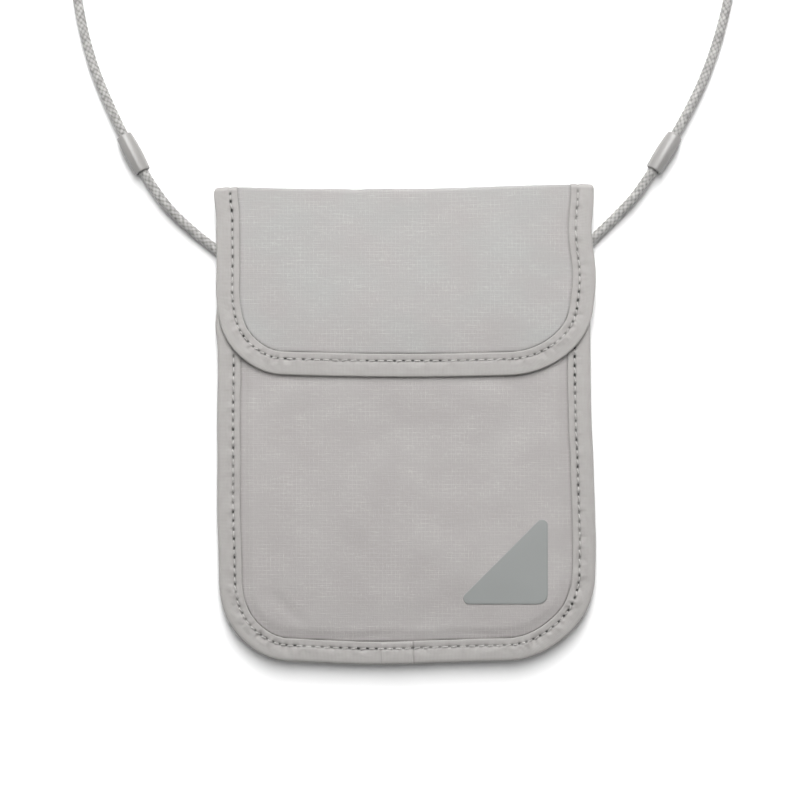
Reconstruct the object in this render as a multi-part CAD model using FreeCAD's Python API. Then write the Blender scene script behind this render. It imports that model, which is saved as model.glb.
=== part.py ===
"""Neck pouch wallet: a flat zipped pouch with a folded flap, lying on its back.

+X runs to the right across the front, +Y up to the folded top edge and +Z out of the front.
The origin is the centre of the pouch on the surface that it lies on. Units are millimetres.
"""

import FreeCAD
import Part
import math
import os

os.makedirs("parts", exist_ok=True)

Vector = FreeCAD.Vector

# The pouch in plan
HALF_WIDTH = 67.5
BOTTOM = -86.0
TOP = 85.0
CORNER = 24.0
SEAM = 1.0
TAPE_WIDTH = 8.8
THREAD_INSET = 6.15
THREAD_WIDTH = 0.5

# Cloth thicknesses
CLOTH = 0.6
LINING = 0.3
THREAD = 0.1

# Heights of the side seam and of the belly and the front that swell from it
SEAM_LOW = 4.2
SEAM_HIGH = 6.4
SLOT_LOW = 4.43
SLOT_HIGH = 6.07
BACK_LOW = 4.45
LINER_LOW = 5.1
FRONT_LOW = 5.45
SWELL_START = 10.0
BELLY_FLAT = 26.0
FRONT_FLAT = 15.0
FRONT_HIGH = 6.9
FRONT_SWELL_TOP = 76.0
MOUTH_EDGE = 84.2
MOUTH_TAPE = 2.4

# Zip in the front, under the flap
ZIP_Y = 58.0
ZIP_GAP = 7.0
ZIP_TAPE_EDGE = 0.35
ZIP_TAPE_OUT = 7.5
ZIP_TAPE_HALF = 52.0
ZIP_TAPE_LOW = 5.95
COIL_HALF = 48.0
COIL_IN = 0.2
COIL_OUT = 2.4
COIL_LOW = 6.27
COIL_HIGH = 7.1
STOP = 2.0
SLIDER_X = -41.5
SLIDER_LENGTH = 9.0
SLIDER_HALF = 3.2
SLIDER_LOW = 5.5
SLIDER_HIGH = 7.8
PULL_LENGTH = 10.0
PULL_HALF = 2.6

# Hook-and-loop closure
PAD_HALF = 25.0
PAD_Y = 36.0
PAD_DEPTH = 16.0
LOOP_THICK = 0.9
HOOK_LOW = 8.15

# Label
LABEL_LEFT = 18.4
LABEL_RIGHT = 51.9
LABEL_LOW = -64.8
LABEL_HIGH = -31.3
LABEL_POINT_RADIUS = 2.1
LABEL_SQUARE_RADIUS = 3.6
LABEL_THICK = 0.4

# Flap: level in the middle, lower along its sides
FLAP_BOTTOM = 17.1
FLAP_CORNER = 24.0
FLAP_END = 85.1
FLAP_LEVEL = 52.0
FLAP_SIDE = 60.0
FLAP_HIGH = 9.25
FLAP_LOW = 7.3
FLAP_CLOTH = 0.5
FLAP_TAPE_UNDER = 0.5
FLAP_TAPE_OVER = 0.7

# Folded top, which creases along its lower and its upper edge
SPINE_INNER = 85.4
SPINE_THICK = 0.6
SPINE_LOW = 0.95
SPINE_HIGH = 9.15

# Neck cord
CORD = 3.6
ANCHOR_LENGTH = 9.0
ANCHOR_WIDTH = 6.0
ANCHOR_LOW = 0.3
ROUND_SHARE = 0.45

# Points of the cord from its tab under each side seam to the coil, chosen to follow its curve
LEFT_ROUTE = [
    (-65.5, 61.4, 2.2),
    (-78.9, 71.3, 2.2),
    (-91.0, 85.0, 3.5),
    (-105.0, 111.2, 3.5),
    (-115.3, 136.0, 1.95),
    (-120.5, 165.5, 1.9),
    (-115.0, 189.5, 1.9),
    (-99.6, 205.6, 1.9),
    (-74.0, 213.3, 1.95),
    (-36.5, 217.4, 2.1),
    (0.0, 218.2, 2.4),
]
RIGHT_ROUTE = [
    (65.5, 64.0, 2.2),
    (77.2, 75.5, 2.2),
    (85.3, 84.0, 3.5),
    (103.3, 112.8, 3.5),
    (113.6, 136.4, 1.95),
    (120.2, 164.8, 1.9),
    (115.6, 188.0, 1.9),
    (98.6, 204.4, 1.9),
    (72.8, 212.7, 2.0),
    (36.4, 216.9, 4.4),
    (0.0, 218.2, 6.0),
]

# Put-away coil of the cord: three turns side by side in each of two layers
COIL_CENTRE = (0.0, 194.0)
TURNS_ACROSS = 3
COIL_MIDDLE = 20.6
COIL_BASE = 0.6
TIE = 0.6
TIE_WIDTH = 6.0

# Barrel beads on the cord
BEAD_LENGTH = 15.5
BEAD_MIDDLE = 3.45
BEAD_END = 2.55
BEAD_BORE = 1.9


def polygon(points):
    """A flat face through the points, closed back to the first."""
    return Part.Face(Part.makePolygon(points + [points[0]]))


def box(x_range, y_range, z_range):
    size = [high - low for low, high in (x_range, y_range, z_range)]
    return Part.makeBox(*size, Vector(x_range[0], y_range[0], z_range[0]))


def outline(inset, low, high, corner, z):
    """A wire with round lower corners and square upper ones, inset from the sides and the bottom."""
    half = HALF_WIDTH - inset
    base = low + inset
    radius = max(corner - inset, 1.5)
    bow = radius * (1 - math.sqrt(0.5))
    right_top = Vector(half, high, z)
    left_top = Vector(-half, high, z)
    left_side = Vector(-half, base + radius, z)
    left_base = Vector(-half + radius, base, z)
    right_base = Vector(half - radius, base, z)
    right_side = Vector(half, base + radius, z)
    left_bow = Vector(-half + bow, base + bow, z)
    right_bow = Vector(half - bow, base + bow, z)
    edges = [
        Part.LineSegment(right_top, left_top).toShape(),
        Part.LineSegment(left_top, left_side).toShape(),
        Part.Arc(left_side, left_bow, left_base).toShape(),
        Part.LineSegment(left_base, right_base).toShape(),
        Part.Arc(right_base, right_bow, right_side).toShape(),
        Part.LineSegment(right_side, right_top).toShape(),
    ]
    return Part.Wire(edges)


def body_outline(inset, z, high=TOP):
    return outline(inset, BOTTOM, high, CORNER, z)


def prism(wire, height):
    return Part.Face(wire).extrude(Vector(0, 0, height))


def body_slab(inset, low, high, top=TOP):
    return prism(body_outline(inset, low, top), high - low)


def swelling(inset_low, z_low, inset_high, z_high, top):
    """A raised or sunk middle between two outlines."""
    wires = [body_outline(inset_low, z_low, top), body_outline(inset_high, z_high, top)]
    return Part.makeLoft(wires, True, True)


def back_panel():
    """The belly: a shallow tray with a flat rim, open at the top edge."""
    beyond = TOP + 20
    belly = swelling(SWELL_START, BACK_LOW, BELLY_FLAT, 0, beyond)
    hollow = belly.translated(Vector(0, 0, CLOTH))
    rim = body_slab(SEAM, BACK_LOW, BACK_LOW + CLOTH, beyond)
    past_top = box((-100, 100), (TOP, beyond + 20), (-5, 20))
    return rim.fuse(belly).cut(hollow).cut(past_top).removeSplitter()


def front_panel(low, high):
    """The part of the swollen front between two heights on the pouch."""
    rise = swelling(SWELL_START, FRONT_LOW + CLOTH, FRONT_FLAT, FRONT_HIGH, FRONT_SWELL_TOP)
    hollow = rise.translated(Vector(0, -CLOTH, -CLOTH))
    sheet = body_slab(SEAM, FRONT_LOW, FRONT_LOW + CLOTH, MOUTH_EDGE)
    stretch = box((-100, 100), (low, high), (0, 20))
    return sheet.fuse(rise).cut(hollow).common(stretch).removeSplitter()


def mouth_binding():
    """Tape folded over the upper edge of the liner and the front."""
    half = HALF_WIDTH - SWELL_START - SEAM
    tape = box((-half, half), (TOP - MOUTH_TAPE, TOP), (4.9, 6.3))
    slot = box((-half, half), (TOP - MOUTH_TAPE, MOUTH_EDGE), (LINER_LOW - 0.02, FRONT_LOW + CLOTH + 0.02))
    return tape.cut(slot)


def body_binding():
    """Tape folded round the edges of the back, the liner and the front."""
    tape = body_slab(0, SEAM_LOW, SEAM_HIGH).cut(body_slab(TAPE_WIDTH, SEAM_LOW, SEAM_HIGH))
    return tape.cut(body_slab(SEAM, SLOT_LOW, SLOT_HIGH))


def body_thread():
    row = body_slab(THREAD_INSET, SEAM_HIGH, SEAM_HIGH + THREAD)
    return row.cut(body_slab(THREAD_INSET + THREAD_WIDTH, SEAM_HIGH, SEAM_HIGH + THREAD))


def label():
    """A right triangle with rounded corners."""
    corners = [
        Vector(LABEL_LEFT, LABEL_LOW, FRONT_HIGH),
        Vector(LABEL_RIGHT, LABEL_LOW, FRONT_HIGH),
        Vector(LABEL_RIGHT, LABEL_HIGH, FRONT_HIGH),
    ]
    plate = polygon(corners).extrude(Vector(0, 0, LABEL_THICK))
    upright = [edge for edge in plate.Edges if abs(edge.tangentAt(edge.FirstParameter).z) > 0.9]
    square = [edge for edge in upright if edge.CenterOfMass.distanceToPoint(corners[1]) < 1]
    plate = plate.makeFillet(LABEL_SQUARE_RADIUS, square)
    places = (corners[0], corners[2])
    points = [e for e in plate.Edges if min(e.CenterOfMass.distanceToPoint(p) for p in places) < 1]
    upright_points = [edge for edge in points if abs(edge.tangentAt(edge.FirstParameter).z) > 0.9]
    return plate.makeFillet(LABEL_POINT_RADIUS, upright_points)


def loop_pad():
    deep = (PAD_Y - PAD_DEPTH / 2, PAD_Y + PAD_DEPTH / 2)
    return box((-PAD_HALF, PAD_HALF), deep, (FRONT_HIGH, FRONT_HIGH + LOOP_THICK))


def zip_tape(side):
    """One tape of the zip; side is 1 above the zip's middle line and -1 below it."""
    ends = sorted((ZIP_Y + side * ZIP_TAPE_EDGE, ZIP_Y + side * ZIP_TAPE_OUT))
    return box((-ZIP_TAPE_HALF, ZIP_TAPE_HALF), ends, (ZIP_TAPE_LOW, ZIP_TAPE_LOW + LINING))


def zip_row(side):
    """One row of the closed coil, rounded along its outer upper edge."""
    ends = sorted((ZIP_Y + side * COIL_IN, ZIP_Y + side * COIL_OUT))
    row = box((-COIL_HALF, COIL_HALF), ends, (COIL_LOW, COIL_HIGH))
    shoulder = [
        edge
        for edge in row.Edges
        if abs(edge.CenterOfMass.y - ZIP_Y) > COIL_OUT - 0.01 and edge.CenterOfMass.z > COIL_HIGH - 0.01
    ]
    return row.makeFillet(0.5, shoulder)


def zip_stops():
    """A clip at each end of the coil."""
    clips = []
    for side in (-1, 1):
        reach = sorted((side * COIL_HALF, side * (COIL_HALF + STOP)))
        clips.append(box(reach, (ZIP_Y - COIL_OUT, ZIP_Y + COIL_OUT), (COIL_LOW, COIL_HIGH)))
    return Part.makeCompound(clips)


def zip_slider():
    """Two plates and two flanges round the coil, with a blade between the rows and a loop on top."""
    ends = (SLIDER_X - SLIDER_LENGTH / 2, SLIDER_X + SLIDER_LENGTH / 2)
    wide = (ZIP_Y - SLIDER_HALF, ZIP_Y + SLIDER_HALF)
    body = box(ends, wide, (COIL_HIGH + 0.15, SLIDER_HIGH))
    body = body.fuse(box(ends, (ZIP_Y - 3, ZIP_Y + 3), (SLIDER_LOW, SLIDER_LOW + 0.35)))
    for side in (-1, 1):
        flange = sorted((ZIP_Y + side * (COIL_OUT + 0.2), ZIP_Y + side * SLIDER_HALF))
        body = body.fuse(box(ends, flange, (COIL_LOW + 0.1, SLIDER_HIGH)))
    blade = box((ends[1] - 1.5, ends[1]), (ZIP_Y - 0.1, ZIP_Y + 0.1), (SLIDER_LOW, SLIDER_HIGH))
    eye = box((SLIDER_X - 2.5, SLIDER_X - 1.2), (ZIP_Y - 0.6, ZIP_Y + 0.6), (SLIDER_HIGH, 8.6))
    bridge = box((SLIDER_X - 2.5, SLIDER_X + 2.5), (ZIP_Y - 0.6, ZIP_Y + 0.6), (8.35, 8.6))
    post = box((SLIDER_X + 1.2, SLIDER_X + 2.5), (ZIP_Y - 0.6, ZIP_Y + 0.6), (SLIDER_HIGH, 8.6))
    return body.fuse([blade, eye, bridge, post]).removeSplitter()


def zip_pull():
    """A tab folded flat over the slider, whose end ring passes under the slider's loop."""
    ends = (SLIDER_X - 0.9, SLIDER_X - 0.9 + PULL_LENGTH)
    tab = box(ends, (ZIP_Y - PULL_HALF, ZIP_Y + PULL_HALF), (SLIDER_HIGH + 0.05, 8.3))
    window = box((SLIDER_X + 1.1, SLIDER_X + 2.7), (ZIP_Y - 0.8, ZIP_Y + 0.8), (0, 20))
    return tab.cut(window)


def arch_band(under, over):
    """The flap's cross-section between two offsets from the underside of its outer cloth."""
    wide = HALF_WIDTH + 2
    bends = [(-wide, FLAP_LOW), (-FLAP_SIDE, FLAP_LOW), (-FLAP_LEVEL, FLAP_HIGH)]
    bends += [(-x, z) for x, z in reversed(bends)]
    lower = [Vector(x, 0, z + under) for x, z in bends]
    upper = [Vector(x, 0, z + over) for x, z in reversed(bends)]
    return polygon(lower + upper).extrude(Vector(0, TOP + 10, 0))


def flap_slab(inset):
    return prism(outline(inset, FLAP_BOTTOM, FLAP_END, FLAP_CORNER, 0), 20)


def flap_ring(inner, outer):
    """A U along the flap's sides and lower edge, between two insets."""
    return flap_slab(inner).cut(flap_slab(outer))


def flap_outer():
    return arch_band(0, FLAP_CLOTH).common(flap_slab(SEAM))


def flap_lining():
    return arch_band(-0.35, -0.35 + LINING).common(flap_slab(SEAM))


def flap_binding():
    tape = arch_band(-FLAP_TAPE_UNDER, FLAP_TAPE_OVER).common(flap_ring(0, TAPE_WIDTH))
    return tape.cut(arch_band(-0.37, FLAP_CLOTH + 0.02).common(flap_slab(SEAM)))


def flap_thread():
    row = flap_ring(THREAD_INSET, THREAD_INSET + THREAD_WIDTH)
    return arch_band(FLAP_TAPE_OVER, FLAP_TAPE_OVER + THREAD).common(row)


def hook_pad():
    top = FLAP_HIGH - 0.35
    return box((-PAD_HALF, PAD_HALF), (PAD_Y - PAD_DEPTH / 2, PAD_Y + PAD_DEPTH / 2), (HOOK_LOW, top))


def top_spine():
    """The strip of cloth that closes the top between the back's edge and the flap's edge."""
    right = [(42, SPINE_LOW), (58, 4.9), (66.5, 5.2), (66.5, 6.5), (FLAP_SIDE, 7.2), (FLAP_LEVEL, SPINE_HIGH)]
    points = right + [(-x, z) for x, z in reversed(right)]
    face = polygon([Vector(x, SPINE_INNER, z) for x, z in points])
    return face.extrude(Vector(0, SPINE_THICK, 0))


def cord_anchor(route):
    """A folded webbing tab under the side seam, whose end face meets the end of the cord."""
    exit_point = Vector(*route[0])
    outward = Vector(*route[1]) - exit_point
    angle = math.degrees(math.atan2(outward.y, outward.x))
    tab = box((-ANCHOR_LENGTH, 0), (-ANCHOR_WIDTH / 2, ANCHOR_WIDTH / 2), (ANCHOR_LOW, SEAM_LOW))
    inner = [edge for edge in tab.Edges if edge.CenterOfMass.x < 0.01 - ANCHOR_LENGTH and edge.Length < 5]
    tab = tab.makeFillet(1.5, inner)
    tab.rotate(Vector(0, 0, 0), Vector(0, 0, 1), angle)
    return tab.translated(Vector(exit_point.x, exit_point.y, 0))


def cord_path(points):
    """Straight runs joined by tangent arcs, and the arcs' radii."""
    edges = []
    radii = []
    start = points[0]
    for before, corner, after in zip(points, points[1:], points[2:]):
        run_in = corner - before
        run_out = after - corner
        half_turn = run_in.getAngle(run_out) / 2
        reach = ROUND_SHARE * min(run_in.Length, run_out.Length)
        radius = reach / math.tan(half_turn)
        run_in.normalize()
        run_out.normalize()
        inward = run_out - run_in
        inward.normalize()
        entry = corner - run_in * reach
        leave = corner + run_out * reach
        middle = corner + inward * (radius / math.cos(half_turn) - radius)
        edges.append(Part.LineSegment(start, entry).toShape())
        edges.append(Part.Arc(entry, middle, leave).toShape())
        radii.append(radius)
        start = leave
    edges.append(Part.LineSegment(start, points[-1]).toShape())
    return Part.Wire(edges), radii


def neck_cord(name, route):
    """The tube along one side of the cord, from its tab to the coil."""
    points = [Vector(*point) for point in route]
    path, radii = cord_path(points)
    section = Part.Wire(Part.makeCircle(CORD / 2, points[0], points[1] - points[0]))
    tube = path.makePipeShell([section], True, True)
    expected = math.pi * (CORD / 2) ** 2 * path.Length
    print(name, "radii", [round(radius, 1) for radius in radii])
    print(name, "length", round(path.Length, 1), "volume ratio", round(tube.Volume / expected, 4))
    return tube


def cord_coil():
    """The outer shape of the put-away coil: a ring three turns wide and two turns high."""
    half = TURNS_ACROSS * CORD / 2
    centre = Vector(*COIL_CENTRE, COIL_BASE)
    ring = Part.makeCylinder(COIL_MIDDLE + half, 2 * CORD, centre)
    ring = ring.cut(Part.makeCylinder(COIL_MIDDLE - half, 2 * CORD, centre))
    rims = [edge for edge in ring.Edges if edge.Length > 4 * CORD]
    return ring.makeFillet(CORD / 3, rims)


def coil_tie():
    """A strap round the coil, on the side nearest the pouch."""
    half = TURNS_ACROSS * CORD / 2
    across = (COIL_CENTRE[1] - COIL_MIDDLE - half, COIL_CENTRE[1] - COIL_MIDDLE + half)
    high = COIL_BASE + 2 * CORD
    slack = 0.3
    wide = (-TIE_WIDTH / 2, TIE_WIDTH / 2)
    strap = box(wide, (across[0] - TIE, across[1] + slack + TIE), (0, high + TIE))
    return strap.cut(box(wide, (across[0], across[1] + slack), (COIL_BASE, high)))


def cord_bead(route):
    """A barrel bead round the middle of the straight run of the cord."""
    start = Vector(*route[2])
    end = Vector(*route[3])
    half = BEAD_LENGTH / 2
    flank = Part.Arc(Vector(BEAD_END, 0, -half), Vector(BEAD_MIDDLE, 0, 0), Vector(BEAD_END, 0, half))
    corners = [Vector(BEAD_END, 0, half), Vector(BEAD_BORE, 0, half)]
    corners += [Vector(BEAD_BORE, 0, -half), Vector(BEAD_END, 0, -half)]
    section = Part.Wire([flank.toShape()] + Part.makePolygon(corners).Edges)
    bead = Part.Face(section).revolve(Vector(0, 0, 0), Vector(0, 0, 1), 360)
    bead = Part.Solid(bead) if bead.ShapeType == "Shell" else bead
    turn = FreeCAD.Rotation(Vector(0, 0, 1), end - start)
    bead.Placement = FreeCAD.Placement((start + end) / 2, turn)
    return bead


def export(name, shape):
    solids = shape.Solids
    if not solids or not shape.isValid():
        raise ValueError(name + " is not a valid solid")
    print(name, len(solids), round(shape.Volume, 1))
    shape.exportStep("parts/" + name + ".step")


NODES = {
    "back_panel": back_panel(),
    "pocket_liner": body_slab(SEAM, LINER_LOW, LINER_LOW + LINING, MOUTH_EDGE),
    "front_lower_panel": front_panel(BOTTOM, ZIP_Y - ZIP_GAP / 2),
    "front_upper_panel": front_panel(ZIP_Y + ZIP_GAP / 2, MOUTH_EDGE),
    "mouth_binding": mouth_binding(),
    "body_binding": body_binding(),
    "body_thread": body_thread(),
    "label": label(),
    "loop_pad": loop_pad(),
    "zip_tape_lower": zip_tape(-1),
    "zip_tape_upper": zip_tape(1),
    "zip_coil_lower": zip_row(-1),
    "zip_coil_upper": zip_row(1),
    "zip_stops": zip_stops(),
    "zip_slider": zip_slider(),
    "zip_pull": zip_pull(),
    "top_spine": top_spine(),
    "flap_outer": flap_outer(),
    "flap_lining": flap_lining(),
    "flap_binding": flap_binding(),
    "flap_thread": flap_thread(),
    "hook_pad": hook_pad(),
    "cord_anchor_left": cord_anchor(LEFT_ROUTE),
    "cord_anchor_right": cord_anchor(RIGHT_ROUTE),
    "neck_cord_left": neck_cord("neck_cord_left", LEFT_ROUTE),
    "neck_cord_right": neck_cord("neck_cord_right", RIGHT_ROUTE),
    "cord_coil": cord_coil(),
    "coil_tie": coil_tie(),
    "cord_bead_left": cord_bead(LEFT_ROUTE),
    "cord_bead_right": cord_bead(RIGHT_ROUTE),
}

for node, shape in NODES.items():
    export(node, shape)
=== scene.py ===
"""Looks of the neck pouch wallet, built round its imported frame. Units are metres."""

import math

import bpy
import bmesh
import numpy as np
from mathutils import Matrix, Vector, kdtree


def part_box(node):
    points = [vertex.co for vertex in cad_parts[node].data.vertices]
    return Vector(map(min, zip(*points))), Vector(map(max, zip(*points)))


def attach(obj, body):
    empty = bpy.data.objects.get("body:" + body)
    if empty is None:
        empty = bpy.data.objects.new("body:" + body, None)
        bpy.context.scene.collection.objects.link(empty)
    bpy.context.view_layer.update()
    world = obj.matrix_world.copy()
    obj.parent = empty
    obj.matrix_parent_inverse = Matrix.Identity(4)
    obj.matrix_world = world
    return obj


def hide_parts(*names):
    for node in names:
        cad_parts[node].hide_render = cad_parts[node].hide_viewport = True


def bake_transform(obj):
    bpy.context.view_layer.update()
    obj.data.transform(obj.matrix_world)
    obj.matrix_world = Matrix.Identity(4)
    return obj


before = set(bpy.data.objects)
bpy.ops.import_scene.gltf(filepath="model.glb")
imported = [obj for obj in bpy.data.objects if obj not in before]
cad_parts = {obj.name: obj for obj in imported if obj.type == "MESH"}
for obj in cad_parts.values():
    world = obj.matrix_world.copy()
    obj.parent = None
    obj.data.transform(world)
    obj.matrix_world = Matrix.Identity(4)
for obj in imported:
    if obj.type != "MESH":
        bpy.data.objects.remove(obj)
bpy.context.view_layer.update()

MM = 0.001

# Places taken from the frame
RIM_LOW, RIM_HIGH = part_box("body_binding")
FLAP_LOW, FLAP_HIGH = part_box("flap_binding")
HALF = RIM_HIGH.x
BOTTOM = RIM_LOW.y
SEAM_Z = (RIM_LOW.z + RIM_HIGH.z) / 2
SEAM_HALF = (RIM_HIGH.z - RIM_LOW.z) / 2
FLAP_BOTTOM = FLAP_LOW.y
FOLD_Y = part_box("top_spine")[1].y
FRONT_SEAM = RIM_HIGH.z - 0.35 * MM
FLAP_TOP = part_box("flap_outer")[1].z
FLAP_SIDE = 7.8 * MM
BACK_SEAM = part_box("back_panel")[1].z - 0.6 * MM
BODY_TOP = 0.0839
FLAP_END = 0.0900

# Edges: corner radii as the cloth lies, tape and stitches
BODY_LEFT_CORNER = (25.5 * MM, 31 * MM)
BODY_RIGHT_CORNER = (30 * MM, 31 * MM)
FLAP_LEFT_CORNER = (23.5 * MM, 27 * MM)
FLAP_RIGHT_CORNER = (29 * MM, 25 * MM)
TAPE = 8.35 * MM
TUCK = 6.9 * MM
STITCH_INSET = 5.85 * MM
PITCH = 3.3 * MM
STEPS_PER_STITCH = 8
JUST_UNDER = 0.99999
LAP_X = -2.4 * MM
LAP_HALF = 6.2 * MM
LAP_LIFT = 0.28 * MM
NEAR_BOTTOM = -0.08

# Neck cord: its thickness, its route on each side and its coil
CORD = 3.6 * MM
LEFT_ROUTE = [
    (-0.0655, 0.0614, 0.0022),
    (-0.0789, 0.0713, 0.0022),
    (-0.0910, 0.0850, 0.0035),
    (-0.1050, 0.1112, 0.0035),
    (-0.1153, 0.1360, 0.00195),
    (-0.1205, 0.1655, 0.0019),
    (-0.1150, 0.1895, 0.0019),
    (-0.0996, 0.2056, 0.0019),
    (-0.0740, 0.2133, 0.00195),
    (-0.0365, 0.2174, 0.0021),
]
RIGHT_ROUTE = [
    (0.0655, 0.0640, 0.0022),
    (0.0772, 0.0755, 0.0022),
    (0.0853, 0.0840, 0.0035),
    (0.1033, 0.1128, 0.0035),
    (0.1136, 0.1364, 0.00195),
    (0.1202, 0.1648, 0.0019),
    (0.1156, 0.1880, 0.0019),
    (0.0986, 0.2044, 0.0019),
    (0.0728, 0.2127, 0.0020),
    (0.0364, 0.2169, 0.0044),
]
COIL_TURNS = 3
COIL_POINTS = 16


# Numbers and noise


def smooth(value, low, high):
    """0 below low, 1 above high and an S-curve between them."""
    t = np.clip((value - low) / (high - low), 0, 1)
    return t * t * (3 - 2 * t)


def noise(x, y, size, seed=0):
    """Smooth noise from -1 to 1 whose bumps are about size across."""
    x, y = np.broadcast_arrays(np.asarray(x, float) / size, np.asarray(y, float) / size)
    cell_x, cell_y = np.floor(x), np.floor(y)
    blend_x, blend_y = smooth(x - cell_x, 0, 1), smooth(y - cell_y, 0, 1)

    def corner(i, j):
        value = np.sin((cell_x + i) * 127.1 + (cell_y + j) * 311.7 + seed * 74.7) * 43758.5453
        return (value - np.floor(value)) * 2 - 1

    lower = corner(0, 0) * (1 - blend_x) + corner(1, 0) * blend_x
    upper = corner(0, 1) * (1 - blend_x) + corner(1, 1) * blend_x
    return lower * (1 - blend_y) + upper * blend_y


def stacked(*columns):
    """Columns brought to one shape and joined as the last axis."""
    return np.stack(np.broadcast_arrays(*columns), -1)


def unit(vectors):
    """The same directions with a length of one."""
    return vectors / np.linalg.norm(vectors, axis=1, keepdims=True)


def run_along(path):
    """The distance along a path to each of its points."""
    return np.cumsum(np.r_[0, np.linalg.norm(np.diff(path, axis=0), axis=1)])


def squared(turn, power):
    """How far a rounded square reaches at each angle: the higher the power, the squarer."""
    return (np.abs(np.cos(turn)) ** power + np.abs(np.sin(turn)) ** power) ** (-1 / power)


def middle_and_half(node):
    """The middle of a node's box and half its size."""
    low, high = np.array(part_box(node))
    return (low + high) / 2, (high - low) / 2


# Mesh building


def add_object(name, data):
    obj = bpy.data.objects.new(name, data)
    bpy.context.scene.collection.objects.link(obj)
    return obj


def make_object(name, points, quads, uv, tone):
    """A mesh object whose vertices carry a uv place and a tone that darkens its colour; the tone holds
    painted shade in holes, crevices and gaps, and some random tone.
    """
    mesh = bpy.data.meshes.new(name)
    mesh.from_pydata(points.tolist(), [], quads)
    mesh.update()
    layer = mesh.uv_layers.new(name="UVMap")
    index = np.empty(len(mesh.loops), int)
    mesh.loops.foreach_get("vertex_index", index)
    layer.data.foreach_set("uv", uv[index].astype(np.float32).ravel())
    attribute = mesh.attributes.new("tone", "FLOAT", "POINT")
    attribute.data.foreach_set("value", np.asarray(tone, np.float32))
    work = bmesh.new()
    work.from_mesh(mesh)
    bmesh.ops.recalc_face_normals(work, faces=work.faces)
    work.to_mesh(mesh)
    work.free()
    mesh.polygons.foreach_set("use_smooth", [True] * len(mesh.polygons))
    return add_object(name, mesh)


def shell(name, top, under, uv, tone=None):
    """A closed sheet between two grids of points with the same rows and columns."""
    rows, cols = top.shape[:2]
    count = rows * cols
    index = np.arange(count).reshape(rows, cols)
    upper = stacked(index[:-1, :-1], index[:-1, 1:], index[1:, 1:], index[1:, :-1]).reshape(-1, 4)
    border = np.concatenate([index[0], index[1:, -1], index[-1, -2::-1], index[-2:0:-1, 0]])
    after = np.roll(border, -1)
    sides = stacked(after, border, border + count, after + count)
    quads = np.concatenate([upper, upper[:, ::-1] + count, sides]).tolist()
    points = np.concatenate([top.reshape(-1, 3), under.reshape(-1, 3)])
    tone = np.ones(count) if tone is None else tone.ravel()
    uv = uv.reshape(-1, 2)
    return make_object(name, points, quads, np.concatenate([uv, uv]), np.concatenate([tone, tone]))


def tube_faces(count, sides, closed=False):
    """Faces of a tube of count rings: capped at its ends, or with its last ring joined to its first."""
    index = np.arange(count * sides).reshape(count, sides)
    caps = [] if closed else [index[0, ::-1].tolist(), index[-1].tolist()]
    if closed:
        index = np.vstack([index, index[:1]])
    after = np.roll(index, -1, 1)
    return stacked(index[:-1], after[:-1], after[1:], index[1:]).reshape(-1, 4).tolist() + caps


def loft(name, rings, uv=None, tone=None, closed=False):
    """A tube through rings of points; a closed one joins its last ring to its first."""
    count, sides = rings.shape[:2]
    faces = tube_faces(count, sides, closed)
    if uv is None:
        round_it = np.linspace(0, 1, sides, endpoint=False) * 8 * MM
        uv = stacked(round_it, run_along(rings.mean(1))[:, None])
    tone = np.ones((count, sides)) if tone is None else tone
    return make_object(name, rings.reshape(-1, 3), faces, uv.reshape(-1, 2), tone.ravel())


def even_steps(points, step):
    """The same line, with points a step apart."""
    gaps = np.linalg.norm(np.diff(points, axis=0), axis=1)
    points = points[np.r_[True, gaps > 1e-7]]
    along = run_along(points)
    places = np.linspace(0, along[-1], int(along[-1] / step) + 1)
    return stacked(*(np.interp(places, along, column) for column in points.T)), along[-1]


def rings_round(path, turn, radius):
    """Rings of points round a path that never stands upright, at the angles of turn."""
    along = unit(np.gradient(path, axis=0))
    side = unit(np.cross(along, (0, 0, 1.0)))
    up = np.cross(side, along)
    ring = side[:, None] * np.cos(turn)[:, None] + up[:, None] * np.sin(turn)[:, None]
    return path[:, None] + ring * radius


def threads(name, paths, radius, sides=7):
    """One object of many short tubes, one along each path."""
    points, faces, uv = [], [], []
    turn = np.linspace(0, 2 * np.pi, sides, endpoint=False)
    for path in paths:
        start = len(points) * len(path) * sides
        points.append(rings_round(path, turn, radius).reshape(-1, 3))
        faces += [[start + i for i in face] for face in tube_faces(len(path), sides)]
        uv.append(stacked(turn * radius, run_along(path)[:, None]).reshape(-1, 2))
    points = np.concatenate(points)
    return make_object(name, points, faces, np.concatenate(uv), np.ones(len(points)))


# Materials


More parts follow.
